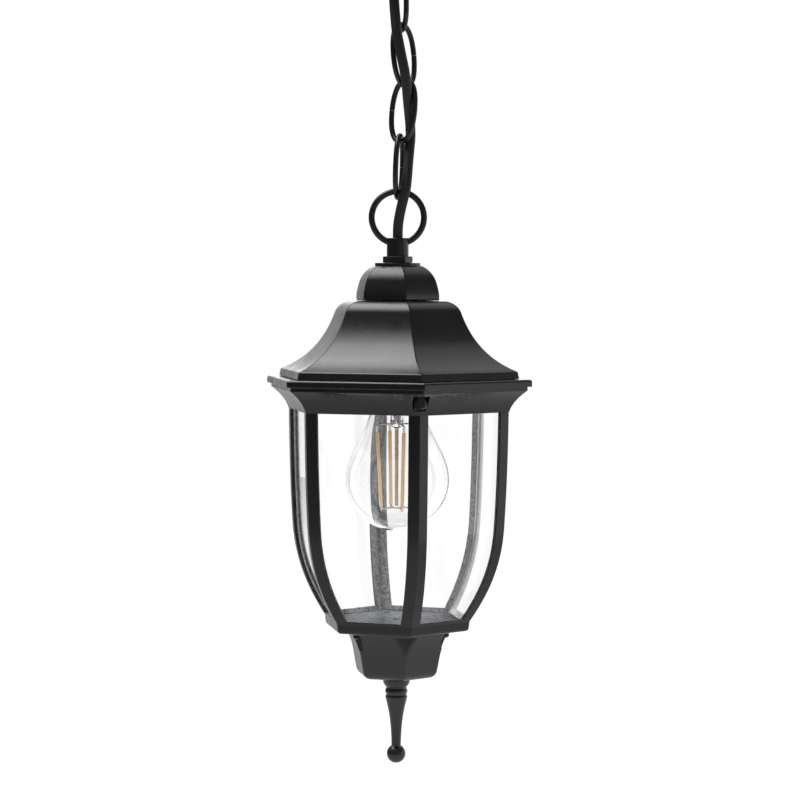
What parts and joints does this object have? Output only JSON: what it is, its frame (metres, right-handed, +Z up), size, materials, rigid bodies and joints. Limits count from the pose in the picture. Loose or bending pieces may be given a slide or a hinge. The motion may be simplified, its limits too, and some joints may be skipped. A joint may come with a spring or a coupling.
{
  "type": "hanging lantern",
  "caption": "Six-sided black lantern with bent clear glass panes and a filament bulb, hung from a ceiling canopy by a short chain with the flex woven through it.",
  "frame": {"origin": "centre of the ceiling plane, where the crossbar's top face meets the ceiling; the lantern hangs below it", "axes": "+Z up; -Y towards the front corner of the hexagon, the one with a cap nut; +X to the right of the front corner"},
  "size_m": [0.142, 0.164, 0.525],
  "materials": {
    "black_coat": "satin black powder coat on die-cast aluminium, and on spun steel for the canopy",
    "black_steel": "satin black coated steel",
    "zinc_steel": "zinc plated steel, and bare nickel on the bulb's screw cap",
    "green_steel": "green earthing screw",
    "clear_glass": "clear bent sheet glass and blown bulb glass",
    "flex_cover": "smooth matt black round flex",
    "black_plastic": "black phenolic lampholder",
    "porcelain": "glazed white ceramic contact block",
    "brass": "bare brass contacts and screw shell",
    "phosphor": "amber phosphor coating on the light sticks"
  },
  "bodies": {
    "ceiling_fitting": {"crossbar": "zinc_steel", "mounting_tube": "zinc_steel", "crossbar_nut": "zinc_steel", "earth_screw": "green_steel", "canopy": "black_coat", "canopy_ring": "black_steel", "canopy_ring_collar": "black_steel", "canopy_lock_nut": "black_steel", "flex_1": "flex_cover"},
    "link_1": {"chain_link_1": "black_steel", "flex_2": "flex_cover"},
    "link_2": {"chain_link_2": "black_steel", "flex_3": "flex_cover"},
    "link_3": {"chain_link_3": "black_steel", "flex_4": "flex_cover"},
    "link_4": {"chain_link_4": "black_steel"},
    "lantern": {"hanging_ring": "black_steel", "ring_collar": "black_steel", "lock_nut": "black_steel", "cap_washer": "black_steel", "lantern_tube": "zinc_steel", "dome_cap": "black_coat", "roof": "black_coat", "roof_nut": "zinc_steel", "holder_cap": "black_plastic", "holder_skirt": "black_plastic", "contact_block": "porcelain", "screw_shell": "brass", "centre_contact": "brass", "cage": "black_coat", "pane_1": "clear_glass", "pane_2": "clear_glass", "pane_3": "clear_glass", "pane_4": "clear_glass", "pane_5": "clear_glass", "pane_6": "clear_glass", "glass_retainer": "zinc_steel", "roof_stud_front": "zinc_steel", "roof_stud_back": "zinc_steel", "bottom_cup": "black_coat", "cup_screw_1": "black_steel", "cup_screw_2": "black_steel", "cup_screw_3": "black_steel", "finial": "black_coat", "finial_stud": "zinc_steel", "finial_nut": "zinc_steel", "flex_5": "flex_cover"},
    "bulb": {"bulb_glass": "clear_glass", "bulb_screw_cap": "zinc_steel", "bulb_insulator": "black_plastic", "bulb_tip": "brass", "bulb_stem": "clear_glass", "filament_frame": "zinc_steel", "filament_1": "phosphor", "filament_2": "phosphor", "filament_3": "phosphor", "filament_4": "phosphor"},
    "front_nut": {"cap_nut_front": "black_steel"},
    "back_nut": {"cap_nut_back": "black_steel"}
  },
  "joints": [
    {"name": "link_1_swing", "type": "hinge", "parent": "ceiling_fitting", "child": "link_1", "pos_m": [0, 0, -0.06545], "axis": [0.9826, -0.1857, 0], "range_deg": [-15, 15], "deforming": ["flex_1"]},
    {"name": "link_2_swing", "type": "hinge", "parent": "link_1", "child": "link_2", "pos_m": [0.00147, -0.00028, -0.09767], "axis": [0.2127, -0.977, 0.0164], "range_deg": [-15, 15], "deforming": ["flex_2"]},
    {"name": "link_3_swing", "type": "hinge", "parent": "link_2", "child": "link_3", "pos_m": [0.00462, -0.00087, -0.12982], "axis": [0.7602, 0.6473, 0.0563], "range_deg": [-15, 15], "deforming": ["flex_3"]},
    {"name": "link_4_swing", "type": "hinge", "parent": "link_3", "child": "link_4", "pos_m": [0.00118, -0.00022, -0.16195], "axis": [0.5458, -0.8352, -0.0679], "range_deg": [-15, 15], "deforming": ["flex_4"]},
    {"name": "lantern_swing", "type": "hinge", "parent": "link_4", "child": "lantern", "pos_m": [0, 0, -0.19423], "axis": [0.3858, 0.9226, -0.007], "range_deg": [-20, 20], "deforming": ["flex_5"]},
    {"name": "bulb_turn", "type": "hinge", "parent": "lantern", "child": "bulb", "pos_m": [0, 0, -0.3], "axis": [0, 0, 1], "continuous": true},
    {"name": "front_nut_turn", "type": "hinge", "parent": "lantern", "child": "front_nut", "pos_m": [0, -0.0707, -0.31], "axis": [0, 0, 1], "continuous": true},
    {"name": "back_nut_turn", "type": "hinge", "parent": "lantern", "child": "back_nut", "pos_m": [0, 0.0707, -0.31], "axis": [0, 0, 1], "continuous": true}
  ]
}
